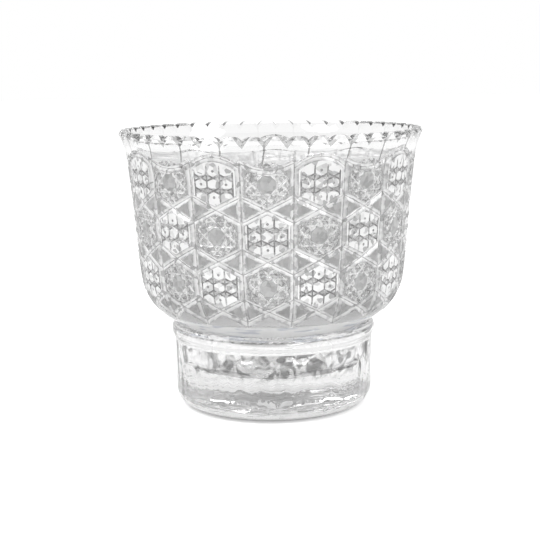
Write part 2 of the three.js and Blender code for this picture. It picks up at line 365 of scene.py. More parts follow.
lace = {
    "width": 0.95 * mm,
    "depth": 0.45 * mm,
    "insideReach": 0.365,
    "outsideReach": 0.25,
    "overrun": 1.06,
    "taper": 0.06,
    "dotRadius": 0.8 * mm,
    "dotDepth": 0.4 * mm,
    "dotSides": 10,
}


def dimple(x, y):
    # one dot of the lace: a cone that stands half in the glass, so it is twice as wide and deep
    bpy.ops.mesh.primitive_cone_add(vertices=lace["dotSides"], radius1=0, radius2=2 * lace["dotRadius"],
                                    depth=2 * lace["dotDepth"], location=(x, y, 0))
    applyPlace()
    dot = bpy.context.object
    cuts.objects.link(dot)
    bpy.context.collection.objects.unlink(dot)


def laceCuts(x, y):
    # four uprights, two rows of three crosses between them, and four dots
    wide, high = panelWidth / 4, pitch / 4
    for side in (-3, -1, 1, 3):
        reach = pitch * (lace["insideReach"] if abs(side) == 1 else lace["outsideReach"])
        across = x + side * wide / 2
        cut((across, y - reach), (across, y + reach), lace["width"], lace["depth"], lace["taper"])
    run = lace["overrun"] * wide / 2
    rise = lace["overrun"] * high / 4
    for row in (-1, 1):
        for column in (-1, 0, 1):
            cx = x + column * wide
            cy = y + row * high / 2
            for way in (-1, 1):
                cut((cx - run, cy - way * rise), (cx + run, cy + way * rise), lace["width"], lace["depth"])
    for column, row in ((0, -1), (0, 1), (-1, 0), (1, 0)):
        dimple(x + column * wide, y + row * high)


def layOutCuts():
    # the columns beside the tile's own two are laid out too, because their cuts reach into it
    for column in range(-1, 3):
        middle = (column + 0.5) * panelWidth
        starFirst = column % 2 == 0
        latticeCuts(middle)
        topCuts(middle, starFirst)
        if column not in (0, 1):
            continue
        for row in range(pattern["rows"]):
            y = pattern["top"] - pitch * (row + 0.5)
            if (row % 2 == 0) == starFirst:
                starCuts(middle, y)
            else:
                laceCuts(middle, y)
    for edge in range(3):
        cut((edge * panelWidth, pattern["foot"] - pattern["mitreEnd"]),
            (edge * panelWidth, sideTop + pattern["mitreEnd"]),
            pattern["mitreWidth"], pattern["mitreDepth"], pattern["mitreTaper"])


def flatTile():
    rows = len(outside) - 1
    bpy.ops.mesh.primitive_grid_add(x_subdivisions=pattern["acrossTile"], y_subdivisions=rows, size=1)
    tile = bpy.context.object
    tile.name = "tile"
    for v in tile.data.vertices:
        row = round((v.co.y + 0.5) * rows)
        v.co.x = tileLeft + (v.co.x + 0.5) * 2 * panelWidth
        v.co.y = outside[row][1]
    editAll(tile)
    bpy.ops.mesh.extrude_region_move(TRANSFORM_OT_translate={"value": (0, 0, -pattern["tileDepth"])})
    leaveEdit()
    faceOut(tile)
    return tile


def keepFront(tile):
    # only the cut face stays, so the sides and the back go
    right = tileLeft + 2 * panelWidth
    low = outside[0][1]
    high = outside[-1][1]
    editAll(tile)
    bpy.ops.mesh.select_mode(type="FACE")
    bpy.ops.mesh.select_all(action="DESELECT")
    leaveEdit()
    mesh = tile.data
    for face in mesh.polygons:
        points = [mesh.vertices[i].co for i in face.vertices]
        face.select = (all(p.z < tiny - pattern["tileDepth"] for p in points)
                       or all(p.x < tileLeft + tiny for p in points)
                       or all(p.x > right - tiny for p in points)
                       or all(p.y < low + tiny for p in points)
                       or all(p.y > high - tiny for p in points))
    bpy.ops.object.mode_set(mode="EDIT")
    bpy.ops.mesh.delete(type="FACE")
    leaveEdit()


def split(place, direction):
    bpy.ops.mesh.select_all(action="SELECT")
    bpy.ops.mesh.bisect(plane_co=place, plane_no=direction, threshold=tiny)


def followWall(tile):
    # new edges across the cuts wherever the wall bends, so that their bottoms follow it when it is rolled up
    columns = pattern["acrossTile"] // 2
    editAll(tile)
    bpy.ops.mesh.quads_convert_to_tris()
    for _, height in outside[1:-1]:
        split((0, height, 0), (0, 1, 0))
    for i in range(1, columns):
        split((tileLeft + i * 2 * panelWidth / columns, 0, 0), (1, 0, 0))
    bpy.ops.mesh.select_all(action="SELECT")
    bpy.ops.mesh.quads_convert_to_tris()
    bpy.ops.mesh.remove_doubles(threshold=2 * tiny)
    bpy.ops.mesh.dissolve_degenerate(threshold=2 * tiny)
    leaveEdit()


# Clear crystal: polished walls, milky cuts, and satin ground in the panels, with painted shade and painted
# reflections on the cutting, the rim and the foot
crystal = {
    "ior": 1.54,
    "absorption": 2.3,
    "clear": 0.98,  # tones, from 0 for black to 1 for white
    # painted shade tones: the cuts' lines, edges and borders, the satin ground's grey in part, the shaded
    # faces, the notches, the foot's patches, the bead's top and the base's edge; painted reflection: the
    # upright lines and the waist's streaks
    "line": 0.45,
    "border": 0.32,
    "cutEdge": 0.45,
    "ground": 0.41,
    "darkTone": 0.25,
    "shadeUnderNotch": 0.4,
    "paintedReflectionLine": 0.18,
    "notchInsideShade": 0.05,
    "patchShade": 0.16,
    "beadTopShade": 0.25,
    "baseEdgeShade": 0.12,
    "dashReflection": (0.64, 0.67, 0.73, 1),
    "mottling": 0.3,  # how far tones spread to either side
    "paintedSparkleTone": 0.22,
    "cutGlass": 0.45,  # shares of light that goes through
    "groundGlass": 0.3,
    "wallFrom": 0.001,  # across is 0 on the inside wall
    "fromInside": 0.1,  # how much of a mark, painted shade included, shows from inside the glass
    "patchBehind": 0.6,
    "polish": 0.05,  # roughness
    "polishRange": (0.35, 0.75),
    "groundRoughness": 0.5,
    "innerRoughness": 0.3,
    "plainShare": 0.9,  # how milky or dark a marked face is
    "beadShare": 0.3,
    # shares of painted shade on marked faces
    "mitreFarSideShade": 0.3,
    "dimStar": 0.75,
    "dimChord": 0.1,
    "dimTriangle": 0.3,
    "dimNotch": 2.0,
    "dimRimTop": 0.35,
    "fineDeep": 0.3 * mm,
    "mitreLean": 0.3,
    "rootShare": 0.14,  # painted shade lines along a cut, as shares of its half width or as depths
    "edgeShare": 0.4,
    "borderShare": 0.9,
    "borderDeep": (0.01 * mm, 0.1 * mm),
    "lineWidth": 0.5 * mm,
    "mottleNoise": (350, 4),  # scale, detail, stretch in height and twist
    "patchNoise": (120, 1, 1, 1.5),
    "dashNoise": (60, 2, 8),
    "waveNoise": (70, 1, 0.25),
    "streakNoise": (110, 1, 0.3),
    "unevenRange": (0.4, 0.6),
    "unevenShares": (0.4, 1.2),
    "paintedSparkleScale": 380,
    "paintedSparkleRange": (0.55, 0.95),
    "paintedSparkleShare": 0.85,
    "reflectionLineCurve": 0.12,
    "paintedMarkWaver": 0.07,
    "notchDark": (0.8, 0.3),  # inward from the rim's radius, in walls
    "patchRange": (0.44, 0.6),
    "patchRise": (1 * mm, 5 * mm),  # up from the well's floor
    "dashRange": (0.57, 0.62),
    "baseEdgeRise": (1 * mm, 3.5 * mm),
    "waveHeight": 0.5 * mm,
    "streakHeight": 1.3 * mm,
    "baseWave": 0.9 * mm,
}
faceMarks = ("frosted", "satin", "dark", "inner", "blown", "streaked")


def acrossCut(x, y):
    # how far a place lies from the root of the nearest main cut: 1 is the cut's border
    column = math.floor(x / panelWidth)
    fromMiddle = (x / panelWidth - column - 0.5) * panelWidth
    shares = [abs(x / panelWidth - round(x / panelWidth)) * panelWidth / (pattern["mitreWidth"] / 2)]
    if y < pattern["foot"] - pattern["mitreEnd"] or y > sideTop + pattern["mitreEnd"]:
        shares = []
    half = pattern["latticeWidth"] / 2
    slope = pitch / 2 / panelWidth
    for row in range(1, pattern["rows"] + 1):
        for way in (-1, 1):
            fromArm = abs(y - pattern["top"] + row * pitch - way * slope * fromMiddle) / math.hypot(1, slope)
            shares.append(fromArm / half)
    edge = topEdge(2 * fromMiddle / panelWidth, column % 2 == 0)
    shares.append(abs(y - edge) / half)
    return min(2, *shares)


def panelAt(x, y):
    # what a place on the flat tile belongs to: side (the triangles), star, lace, tie or none
    column = math.floor(x / panelWidth)
    across = (x / panelWidth - column - 0.5) * 2
    starFirst = column % 2 == 0
    down = (pattern["top"] - y) / pitch
    row = max(0, math.floor(down))
    if y < pattern["foot"] or y > topEdge(across, starFirst):
        return None
    # the lattice's arms part by a quarter of a row up and down, from a column's middle to its sides
    if any(abs(down - crossing) < abs(across) / 4 for crossing in range(1, pattern["rows"] + 1)):
        return "side"
    if row >= pattern["rows"]:
        return None
    if (row % 2 == 0) == starFirst:
        return "star"
    # the small side triangles of the lace's crosses, which stand an eighth of a row from its middle
    fromRow = abs(abs(down - row - 0.5) * 8 - 1)
    fromColumn = abs((across * 4 + 1) % 2 - 1)
    return "tie" if fromRow < (1 - fromColumn) / 2 and abs(across) < 0.75 else "lace"


def addMarks(mesh, forFaces, forPoints=()):
    # all are made before any is fetched, because a new one moves the others
    for name in forFaces:
        mesh.attributes.new(name, "FLOAT", "FACE")
    for name in forPoints:
        mesh.attributes.new(name, "FLOAT", "POINT")
    return [mesh.attributes[name].data for name in (*forFaces, *forPoints)]


def cutShade(middle, normal):
    # how much painted shade a face of a cut gets: the fine cuts by their panel, and the mitre's far side a
    # little
    if acrossCut(middle.x, middle.y) > 1:
        if panelAt(middle.x, middle.y) in ("lace", "tie"):
            return 1.0
        return crystal["dimStar"] if middle.z > -crystal["fineDeep"] else crystal["dimChord"]
    fromMitre = (middle.x / panelWidth - round(middle.x / panelWidth)) * panelWidth
    farSide = 0 < fromMitre < pattern["mitreWidth"] / 2 and normal.x < -crystal["mitreLean"]
    return crystal["mitreFarSideShade"] * farSide


def markFinishAndShade(tile):
    # keeps each point's place on the flat tile, and which faces are cut, satin ground or given painted shade
    mesh = tile.data
    mesh.attributes.new("layout", "FLOAT_VECTOR", "POINT")
    frosted, satin, dark, *_, across = addMarks(mesh, faceMarks, ("across",))
    layout = mesh.attributes["layout"].data
    for v in mesh.vertices:
        layout[v.index].vector = v.co
        across[v.index].value = acrossCut(v.co.x, v.co.y)
    for face in mesh.polygons:
        i, middle = face.index, face.center
        onTop = all(abs(mesh.vertices[corner].co.z) < tiny for corner in face.vertices)
        panel = panelAt(middle.x, middle.y)
        plain = onTop and middle.y < pattern["foot"] - pattern["mitreEnd"]
        frosted[i].value = crystal["plainShare"] if plain else float(not onTop or panel is not None)
        satin[i].value = float(onTop and panel in ("side", "star", "tie"))
        shade = crystal["dimTriangle"] * (panel == "side") if onTop else cutShade(middle, face.normal)
        dark[i].value = shade


def markInside(shell):
    # the inside wall behind the cutting is less polished, and the well below it is a little wavy
    inner, blown = addMarks(shell.data, ("inner", "blown"))
    for face in shell.data.polygons:
        inner[face.index].value = float(pattern["foot"] < face.center.z < pattern["top"])
        blown[face.index].value = float(face.center.z < pattern["foot"])


def markFoot(shell):
    # the side of the foot is a little wavy and takes painted shade, the bead above it is part milky, and no
    # cut is near
    streaked, frosted, across = addMarks(shell.data, ("streaked", "frosted"), ("across",))
    beadFoot = blank["crease"] - blank["beadDrop"] - blank["beadHeight"]
    for v in shell.data.vertices:
        across[v.index].value = 2
    for face in shell.data.polygons:
        streaked[face.index].value = float(tiny < face.center.z < beadFoot)
        frosted[face.index].value = crystal["beadShare"] * (face.center.z > beadFoot)


rimCut = {
    "teeth": 46,
    "depth": 3.3 * mm,
    "turn": 0.011,
    "rise": 1.2 * mm,  # a notch's bottom falls inward
    "flank": (0, 0.16, 0.36, 0.62, 0.94),  # where the points of a notch's side lie across half of it
    "round": 2.2,
    "over": 3 * mm,
    "reach": (-3, 2),  # from the rim's radius, in walls
    # height and slope of the painted shade under each notch
    "shadeUnderNotch": 6.5 * mm,
    "shadeUnderNotchSlope": 0.75,
    "zone": 1.5,  # of the depth, below the top
    "lean": 0.3,  # least shares of a face's direction that lie along the rim, and up
    "steep": 0.55,
    "level": 0.5,
}


def markNotches(vase):
    # the sides of the rim notches face along the rim, and the flats between them face up; both are frosted
    # and given painted shade, the sides more
    frosted, dark = (vase.data.attributes[name].data for name in ("frosted", "dark"))
    for face in vase.data.polygons:
        middle, out = face.center, face.normal
        alongRim = abs(out.x * middle.y - out.y * middle.x) / max(math.hypot(middle.x, middle.y), tiny)
        atRim = middle.z > blank["height"] - rimCut["zone"] * rimCut["depth"]
        if atRim and (alongRim > rimCut["lean"] or out.z > rimCut["level"]):
            frosted[face.index].value = 1.0
            inside = alongRim > rimCut["steep"]
            dark[face.index].value = crystal["dimNotch"] if inside else crystal["dimRimTop"]


def rollUp(tile):
    for v in tile.data.vertices:
        radius, out = onOutside(v.co.y)
        angle = blank["frontAngle"] + (v.co.x / panelWidth - 0.5) * columnAngle
        radius += v.co.z * out.x
        height = v.co.y + v.co.z * out.y
        v.co = (radius * math.cos(angle), radius * math.sin(angle), height)
    copies = [linkNew("tile", tile.data.copy()) for _ in range(1, pattern["pairs"])]
    for i, copy in enumerate(copies, 1):
        copy.data.transform(Matrix.Rotation(2 * columnAngle * i, 4, "Z"))
    joinTo(tile, copies)
    mergeDoubles(tile, tiny)


def cornerArc(middle, radius, first, last, steps):
    turns = [first + (last - first) * i / steps for i in range(steps + 1)]
    return [(middle[0] + radius * math.cos(t), middle[1] + radius * math.sin(t)) for t in turns]


def insideOutline():
    # from the tile's top edge over the rim, down the inside and the well to the axis
    b = blank
    wellFloor = b["baseThickness"]
    lip = (b["rimRadius"] - b["rimWall"], b["height"])
    shoulder, belly = b["insideShoulder"], b["insideBelly"]
    edge = (b["floorEdge"][0], b["crease"] + b["floorEdge"][1])
    wallSteps, lowerSteps, floorSteps, cornerSteps = b["insideSteps"]
    rim = [(b["rimRadius"], b["height"] - b["rimBevel"]), (b["rimRadius"] - b["rimBevel"] / 2, b["height"])]
    wall = bezier([lip, *b["wallHandles"], shoulder], wallSteps)
    lower = bezier([shoulder, *b["lowerHandles"], belly], lowerSteps)
    floor = bezier([belly, b["floorHandle"], edge, (b["wellRadius"], b["crease"])], floorSteps)
    corner = (b["wellRadius"] - b["wellCorner"], wellFloor + b["wellCorner"])
    well = cornerArc(corner, b["wellCorner"], 0, -math.pi / 2, cornerSteps)
    return rim + wall[:-1] + lower[:-1] + floor + well + [(0, wellFloor)]


def footOutline():
    # from the tile's bottom edge over the bead, down the foot and under the base to the axis
    b = blank
    top = b["crease"] - b["beadDrop"]
    out, up = b["beadHandles"]
    high, low = b["beadHollow"]
    belly = (b["beadRadius"], top - b["beadHeight"] * b["beadBelly"])
    beadSteps, hollowSteps, cornerSteps = b["footSteps"]
    bead = bezier([(b["waistRadius"], b["crease"]), (b["waistRadius"] + out, b["crease"]),
                   (b["beadRadius"], top + up), belly], beadSteps)
    hollow = bezier([belly, (b["beadRadius"], top - b["beadHeight"] * high),
                     (b["footRadius"], top - b["beadHeight"] * low),
                     (b["footRadius"], top - b["beadHeight"])], hollowSteps)
    corner = (b["baseRadius"] - b["baseCorner"], b["baseCorner"])
    base = cornerArc(corner, b["baseCorner"], 0, -math.pi / 2, cornerSteps)
    return bead[:-1] + hollow + base + [(0, 0)]


def spun(outline, name):
    # a bare outline in the plane of the tile's left edge, spun once round the axis
    mesh = bpy.data.meshes.new(name)
    angle = blank["frontAngle"] + (tileLeft / panelWidth - 0.5) * columnAngle
    points = [(r * math.cos(angle), r * math.sin(angle), z) for r, z in outline]
    mesh.from_pydata(points, [(i, i + 1) for i in range(len(points) - 1)], [])
    shell = linkNew(name, mesh)
    editAll(shell)
    bpy.ops.mesh.spin(steps=blank["stepsAround"], angle=2 * math.pi, center=(0, 0, 0), axis=(0, 0, 1))
    leaveEdit()
    return shell


def notchCutters():
    # the space between two round-topped teeth, drawn as one cutter and copied round the rim
    notches = newCollection("notches")
    half = math.pi * blank["rimRadius"] / rimCut["teeth"]
    top = blank["height"]
    bottom = top - rimCut["depth"]
    flank = [(share * half, rimCut["depth"] * (1 - (1 - share) ** rimCut["round"]))
             for share in rimCut["flank"]]
    outline = [(-x, bottom + y) for x, y in reversed(flank[1:])] + [(x, bottom + y) for x, y in flank]
    outline += [(half, top + rimCut["over"]), (-half, top + rimCut["over"])]
    near, far = (blank["rimRadius"] + walls * blank["rimWall"] for walls in rimCut["reach"])
    points = [(near, across * near / blank["rimRadius"], up) for across, up in outline]
    points += [(far, across * far / blank["rimRadius"], up + rimCut["rise"]) for across, up in outline]
    count = len(outline)
    faces = [tuple(range(count)), tuple(reversed(range(count, 2 * count)))]
    faces += [(i, i + count, (i + 1) % count + count, (i + 1) % count) for i in range(count)]
    mesh = bpy.data.meshes.new("notch")
    mesh.from_pydata(points, [], faces)
    notch = linkNew("notch", mesh)
    faceOut(notch)
    bpy.context.scene.collection.objects.unlink(notch)
    for i in range(rimCut["teeth"]):
        copy = bpy.data.objects.new("notch", mesh.copy())
        turn = blank["frontAngle"] - rimCut["turn"] + i * 2 * math.pi / rimCut["teeth"]
        copy.data.transform(Matrix.Rotation(turn, 4, "Z"))
        notches.objects.link(copy)
    return notches


baseStar = {
    "rays": 24,
    "reach": 39 * mm,
    "hub": 3 * mm,
    "width": 4.4 * mm,
    "depth": 1.8 * mm,
    "taper": 0.45,
}


def rayCutters():
    # cut upward from below, so the cutter is mirrored and its faces turned out again
    rays = newCollection("rays")
    wide = vCutter(baseStar["taper"])
    length = baseStar["reach"] - baseStar["hub"]
    for i in range(baseStar["rays"]):
        place = (Matrix.Rotation((i + 0.5) * 2 * math.pi / baseStar["rays"], 4, "Z")
                 @ Matrix.Translation((baseStar["hub"] + length / 2, 0, 0))
                 @ Matrix.Diagonal((length, baseStar["width"] / 2, -baseStar["depth"], 1)))
        copy = bpy.data.objects.new("ray", wide.data.copy())
        copy.data.transform(place)
        copy.data.flip_normals()
        rays.objects.link(copy)
    return rays


def openEdges(obj):
    shared = {}
    for face in obj.data.polygons:
        for key in face.edge_keys:
            shared[key] = shared.get(key, 0) + 1
    return sum(1 for count in shared.values() if count != 2)


def report(stage, obj):
    say(f"{stage}, {len(obj.data.polygons)} faces, {openEdges(obj)} open edges")


def makeVase():
    layOutCuts()
    say(f"{len(cuts.objects)} cuts laid out")
    vase = flatTile()
    carve(vase, cuts)
    report("tile cut", vase)
    keepFront(vase)
    followWall(vase)
    markFinishAndShade(vase)
    rollUp(vase)
    report("tile rolled up", vase)
    inside = spun(insideOutline(), "inside")
    markInside(inside)
    under = spun(footOutline(), "under")
    markFoot(under)
    joinTo(vase, (inside, under))
    vase.name = vase.data.name = "vase"
    mergeDoubles(vase, 2 * tiny)
    faceOut(vase)
    report("inside and foot closed", vase)
    carve(vase, notchCutters())
    report("rim notched", vase)
    carve(vase, rayCutters())
    mergeDoubles(vase, tiny)
    faceOut(vase)
    report("base star cut", vase)
    markNotches(vase)
    makeActive(vase)
    bpy.ops.object.shade_smooth_by_angle(angle=blank["smoothAngle"])
    vase.data.calc_loop_triangles()
    say(f"vase shaded, {len(vase.data.loop_triangles)} triangles")
    return vase


# Short functions for the nodes that the finish takes most
def addNode(tree, kind, **settings):
    node = tree.nodes.new(kind)
    for name, value in settings.items():
        setattr(node, name, value)
    return node


def feed(socket, value):
    # links a socket, or sets a plain number or colour on it
    if isinstance(value, bpy.types.NodeSocket):
        socket.id_data.links.new(value, socket)
    else:
        socket.default_value = value


def maths(operation, *values):
    node = addNode(values[0].id_data, "ShaderNodeMath", operation=operation)
    for socket, value in zip(node.inputs, values):
        feed(socket, value)
    return node.outputs[0]


def times(first, *others):
    for other in others:
        first = maths("MULTIPLY", first, other)
    return first


def between(value, low, high):
    return times(maths("GREATER_THAN", value, low), maths("LESS_THAN", value, high))


def mixed(factor, first, second, kind="FLOAT"):
    node = addNode(factor.id_data, "ShaderNodeMix", data_type=kind)
    for name, value in (("Factor", factor), ("A", first), ("B", second)):
        feed(node.inputs[name], value)
    return node.outputs["Result"]


def grey(value):
    return (value, value, value, 1)


def toned(share, colour, tone):
    return mixed(share, colour, grey(tone), "RGBA")


def greys(value, middle, spread):
    return mixed(value, grey(middle - spread), grey(middle + spread), "RGBA")


def mapped(value, source, target=(0, 1)):
    node = addNode(value.id_data, "ShaderNodeMapRange")
    names = ("From Min", "From Max", "To Min", "To Max")
    for name, number in zip(names, (*source, *target)):
        node.inputs[name].default_value = number
    feed(node.inputs["Value"], value)
    return node.outputs["Result"]


def noiseAt(place, scale, detail, stretch=1, twist=0):
    # a stretch above 1 gives level streaks, and one below 1 upright ones
    tree = place.id_data
    if stretch != 1:
        mapping = addNode(tree, "ShaderNodeMapping")
        mapping.inputs["Scale"].default_value = (1, 1, stretch)
        feed(mapping.inputs["Vector"], place)
        place = mapping.outputs["Vector"]
    noise = addNode(tree, "ShaderNodeTexNoise")
    for name, value in (("Vector", place), ("Scale", scale), ("Detail", detail), ("Distortion", twist)):
        feed(noise.inputs[name], value)
    return noise.outputs["Fac"]


def separated(vector):
    node = addNode(vector.id_data, "ShaderNodeSeparateXYZ")
    feed(node.inputs[0], vector)
    return node.outputs


def glassMarks(tree):
    # what the parts of the crystal's finish and its painted shade share
    def marked(name):
        return addNode(tree, "ShaderNodeAttribute", attribute_name=name).outputs["Fac"]

    marks = {name: marked(name) for name in (*faceMarks, "across")}
    marks["place"] = addNode(tree, "ShaderNodeTexCoord").outputs["Object"]
    marks["x"], marks["y"], marks["height"] = separated(marks["place"])
    marks["layout"] = addNode(tree, "ShaderNodeAttribute", attribute_name="layout").outputs["Vector"]
    marks["back"] = addNode(tree, "ShaderNodeNewGeometry").outputs["Backfacing"]
    # painted shade shows fully from outside and only a little from inside the glass, where the light comes
    # from behind
    marks["outer"] = mixed(marks["back"], 1.0, crystal["fromInside"])
    marks["noise"] = noiseAt(marks["place"], *crystal["mottleNoise"])
    marks["uneven"] = mapped(marks["noise"], crystal["unevenRange"], crystal["unevenShares"])
    marks["ground"] = times(marks["satin"], marks["outer"])
    outside = maths("GREATER_THAN", marks["across"], crystal["wallFrom"])
    marks["onWall"] = times(outside, marks["outer"])
    marks["dashes"] = noiseAt(marks["place"], *crystal["dashNoise"])
    return SimpleNamespace(**marks)


def roughnessOf(m):
    # faint uneven polish all over, a duller inside wall and satin ground
    polish = mapped(m.noise, crystal["polishRange"], (0, crystal["polish"]))
    blurred = mixed(m.inner, polish, crystal["innerRoughness"])
    return mixed(m.ground, blurred, crystal["groundRoughness"])


def cutTonesAndPaintedShade(m):
    # painted shade: dark lines along the root, edge and border of a cut; painted sparkle: greyer cells for
    # its broken light; and the satin ground's grey, partly painted shade, mottled at random
    # painted sparkle: cells, some greyer, for the broken light of the cutting
    sparkleCells = addNode(m.place.id_data, "ShaderNodeTexVoronoi")
    sparkleCells.inputs["Scale"].default_value = crystal["paintedSparkleScale"]
    feed(sparkleCells.inputs["Vector"], m.place)
    sparkleChannels = addNode(m.place.id_data, "ShaderNodeSeparateColor")
    feed(sparkleChannels.inputs[0], sparkleCells.outputs["Color"])
    cell = sparkleChannels.outputs["Red"]
    inCut = times(m.frosted, m.uneven)
    nearRoot = maths("LESS_THAN", m.across, crystal["rootShare"])
    colour = toned(times(nearRoot, inCut), grey(crystal["clear"]), crystal["line"])
    edge = times(maths("LESS_THAN", m.across, 1.0), mapped(m.across, (crystal["edgeShare"], 1)))
    colour = toned(times(edge, inCut), colour, crystal["cutEdge"])
    shallowest, deepest = crystal["borderDeep"]
    shallow = between(separated(m.layout)["Z"], -deepest, -shallowest)
    borders = maths("MAXIMUM", between(m.across, crystal["borderShare"], 1.0), shallow)
    colour = toned(times(borders, inCut), colour, crystal["border"])
    inCutting = times(maths("GREATER_THAN", m.height, pattern["foot"] - pattern["mitreEnd"]), m.frosted)
    paintedSparkle = mapped(cell, crystal["paintedSparkleRange"], (0, crystal["paintedSparkleShare"]))
    colour = toned(times(paintedSparkle, inCutting), colour, crystal["border"])
    mottled = greys(m.noise, crystal["ground"], crystal["mottling"])
    groundSparkle = greys(cell, crystal["ground"], crystal["paintedSparkleTone"])
    half = addNode(m.place.id_data, "ShaderNodeMix", data_type="RGBA")
    feed(half.inputs["A"], mottled)
    feed(half.inputs["B"], groundSparkle)
    colour = mixed(m.ground, colour, half.outputs["Result"], "RGBA")
    # the painted shade marked on faces darkens the colour last
    return toned(times(m.dark, m.uneven), colour, crystal["darkTone"])


def fromNotch(turn, every):
    # how far a place lies, along the rim, from the nearest of every so many notches
    part = maths("FRACT", maths("ADD", maths("DIVIDE", turn, every), 0.5))
    share = maths("ABSOLUTE", maths("SUBTRACT", part, 0.5))
    return times(share, every * 2 * math.pi * blank["rimRadius"] / rimCut["teeth"])


def rimPaintedShadeAndReflection(m, colour):
    # painted shade in a wedge under each notch, and a thin upright painted reflection line under every
    # second one
    turn = maths("SUBTRACT", maths("ARCTAN2", m.y, m.x), blank["frontAngle"] - rimCut["turn"] - 2 * math.pi)
    turn = times(turn, rimCut["teeth"] / (2 * math.pi))
    turn = maths("ADD", turn, times(maths("SUBTRACT", m.noise, 0.5), crystal["paintedMarkWaver"]))
    shadeUnderNotch = times(maths("SUBTRACT", m.height, blank["height"] - rimCut["shadeUnderNotch"]), rimCut["shadeUnderNotchSlope"])
    inShadeUnderNotch = maths("LESS_THAN", fromNotch(turn, 1), shadeUnderNotch)
    colour = toned(times(inShadeUnderNotch, m.onWall), colour, crystal["shadeUnderNotch"])
    # painted reflection: a thin upright line under every second notch
    lineTop = blank["height"] - rimCut["depth"]
    fall = maths("DIVIDE", maths("SUBTRACT", m.height, lineTop), lineTop - sideTop)
    turn = maths("ADD", turn, times(maths("POWER", fall, 2), crystal["reflectionLineCurve"]))
    inBand = between(m.height, sideTop - pattern["swagDrop"], lineTop)
    inBand = times(maths("LESS_THAN", m.frosted, 0.5), inBand)
    paintedReflectionLine = times(maths("LESS_THAN", fromNotch(turn, 2), crystal["lineWidth"]), inBand)
    return toned(times(paintedReflectionLine, m.onWall), colour, crystal["paintedReflectionLine"])


def insideNotchShade(m):
    # painted shade: the notches are darkest where they open into the bowl, and let less light through there
    radius = maths("SQRT", maths("ADD", maths("POWER", m.x, 2), maths("POWER", m.y, 2)))
    inner, outer = (blank["rimRadius"] - share * blank["rimWall"] for share in crystal["notchDark"])
    onSide = maths("GREATER_THAN", m.dark, 0.75 * crystal["dimNotch"])
    return times(onSide, mapped(radius, (inner, outer), (1, 0)))


def footPaintedShadeAndReflection(m, colour):
    # painted shade: soft dark patches in the side of the foot
    patches = noiseAt(m.place, *crystal["patchNoise"])
    window = mapped(m.height, [blank["baseThickness"] + rise for rise in crystal["patchRise"]])
    behind = mixed(m.back, 1.0, crystal["patchBehind"])
    inPatchShade = times(mapped(patches, crystal["patchRange"]), m.streaked, times(window, behind))
    colour = toned(inPatchShade, colour, crystal["patchShade"])
    # painted shade: a broken dark line along the top of the bead
    beadTop = blank["crease"] - blank["beadDrop"]
    fromBead = maths("ABSOLUTE", maths("SUBTRACT", m.height, beadTop))
    inBead = times(maths("LESS_THAN", fromBead, crystal["lineWidth"]), m.onWall, m.uneven)
    colour = toned(inBead, colour, crystal["beadTopShade"])
    # painted reflection: short level bluish streaks round the waist
    inWaist = between(m.height, beadTop, pattern["foot"] - pattern["mitreEnd"])
    inDashReflection = times(inWaist, m.onWall, mapped(m.dashes, crystal["dashRange"]))
    return mixed(inDashReflection, colour, crystal["dashReflection"], "RGBA")


def waves(m):
    # the well is blown and the foot drawn, so both are a little wavy, and the base's corner more so
    unit = crystal["waveHeight"]
    well = times(noiseAt(m.place, *crystal["waveNoise"]), m.blown)
    streak = noiseAt(m.place, *crystal["streakNoise"])
    foot = times(streak, m.streaked, crystal["streakHeight"] / unit)
    atBase = times(maths("LESS_THAN", m.height, blank["baseCorner"]), m.streaked)
    base = times(m.dashes, atBase, crystal["baseWave"] / unit)
    bump = addNode(m.place.id_data, "ShaderNodeBump")
    bump.inputs["Distance"].default_value = unit
    feed(bump.inputs["Height"], maths("ADD", maths("ADD", well, foot), base))
    return bump.outputs["Normal"]


def crystalMaterial():
    material = bpy.data.materials.new("clearCrystal")
    material.use_nodes = True
    tree = material.node_tree
    shader = tree.nodes["Principled BSDF"]
    shader.inputs["IOR"].default_value = crystal["ior"]
    m = glassMarks(tree)
    feed(shader.inputs["Roughness"], roughnessOf(m))
    feed(shader.inputs["Normal"], waves(m))
    inNotchInsideShade = insideNotchShade(m)
    # painted shade: a dark edge low on the base's corner, seen from outside, which also lets less light
    # through
    baseEdgeShadeMask = times(mapped(m.height, crystal["baseEdgeRise"], (1, 0)), m.streaked, m.outer)
    colour = toned(inNotchInsideShade, rimPaintedShadeAndReflection(m, cutTonesAndPaintedShade(m)), crystal["notchInsideShade"])
    colour = toned(baseEdgeShadeMask, footPaintedShadeAndReflection(m, colour), crystal["baseEdgeShade"])
    feed(shader.inputs["Base Color"], colour)
    through = mixed(times(m.frosted, m.outer), 1.0, crystal["cutGlass"])
    through = mixed(m.ground, through, crystal["groundGlass"])
    through = mixed(inNotchInsideShade, through, crystal["groundGlass"])
    feed(shader.inputs["Transmission Weight"], mixed(baseEdgeShadeMask, through, crystal["cutGlass"]))
    glass = addNode(tree, "ShaderNodeVolumeAbsorption")
    glass.inputs["Color"].default_value = grey(0)
    glass.inputs["Density"].default_value = crystal["absorption"]
    feed(tree.nodes["Material Output"].inputs["Volume"], glass.outputs[0])
    return material


vase = makeVase()
vase.data.materials.clear()
vase.data.materials.append(crystalMaterial())
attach(vase, "root")
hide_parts("bowl", "foot")
say("crystal set")


# Floor, world, lamps and camera
studio = {
    "floorSize": 12,
    "floorDrop": 0.2 * mm,
    "floorColour": (0.9, 0.9, 0.9, 1),
    "floorGlow": 0.45,
    "floorGlowInGlass": 0.3,
    "lampSize": 0.8,
    "lampAim": (0, 0, 0.08),
    "lamps": (("key", (-0.9, -0.7, 1.4), 12), ("fill", (1.1, -0.5, 1.0), 7.2)),
    "bounces": 24,
    "glossyBounces": 12,
}


def throughGlass(path):
    return maths("MAXIMUM", path["Is Glossy Ray"], path["Is Transmission Ray"])


